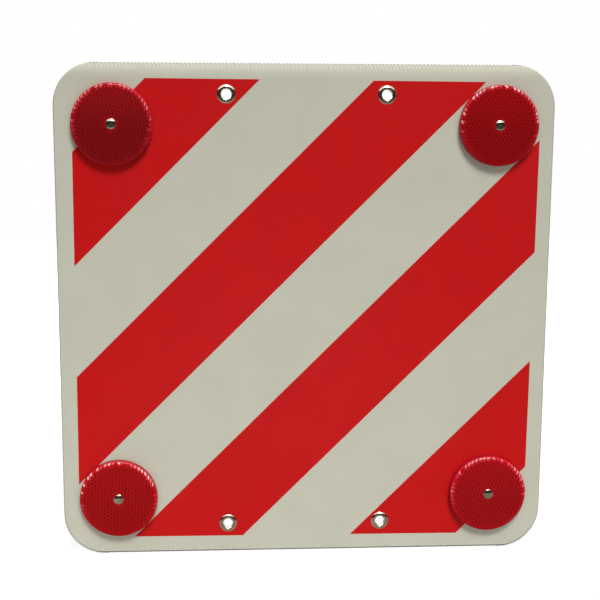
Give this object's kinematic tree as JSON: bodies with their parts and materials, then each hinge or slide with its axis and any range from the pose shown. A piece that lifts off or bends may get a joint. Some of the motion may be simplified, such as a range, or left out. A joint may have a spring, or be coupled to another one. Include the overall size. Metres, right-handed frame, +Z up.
{
  "type": "overhanging load sign",
  "caption": "Square fluted plastic warning sign with red and white diagonal bands, round reflectors riveted at its corners and eyelets to tie it to an overhanging load.",
  "frame": {"origin": "centre of the four eyelets, in the plane of the printed face", "axes": "+Z up the sign, +X to the viewer's right when the printed face is seen, -Y out of the printed face"},
  "size_m": [0.5, 0.0168, 0.5],
  "materials": {
    "board": "satin extruded polypropylene",
    "film": "smooth reflective film, faintly ribbed by the flutes below",
    "print_red": "smooth transparent red print",
    "lens_red": "polished moulded acrylic",
    "reflector_base": "moulded",
    "rivet_plate": "nickel plated",
    "eyelet_plate": "nickel plated"
  },
  "bodies": {
    "root": {"panel": "board", "reflective_film": "film", "red_stripe_1": "print_red", "red_stripe_2": "print_red", "red_stripe_3": "print_red", "red_stripe_4": "print_red", "reflector_lens_top_left": "lens_red", "reflector_lens_top_right": "lens_red", "reflector_lens_bottom_left": "lens_red", "reflector_lens_bottom_right": "lens_red", "reflector_back_top_left": "reflector_base", "reflector_back_top_right": "reflector_base", "reflector_back_bottom_left": "reflector_base", "reflector_back_bottom_right": "reflector_base", "rivet_top_left": "rivet_plate", "rivet_top_right": "rivet_plate", "rivet_bottom_left": "rivet_plate", "rivet_bottom_right": "rivet_plate", "rivet_cap_top_left": "rivet_plate", "rivet_cap_top_right": "rivet_plate", "rivet_cap_bottom_left": "rivet_plate", "rivet_cap_bottom_right": "rivet_plate", "eyelet_top_left": "eyelet_plate", "eyelet_top_right": "eyelet_plate", "eyelet_bottom_left": "eyelet_plate", "eyelet_bottom_right": "eyelet_plate", "eyelet_washer_top_left": "eyelet_plate", "eyelet_washer_top_right": "eyelet_plate", "eyelet_washer_bottom_left": "eyelet_plate", "eyelet_washer_bottom_right": "eyelet_plate"}
  },
  "joints": []
}
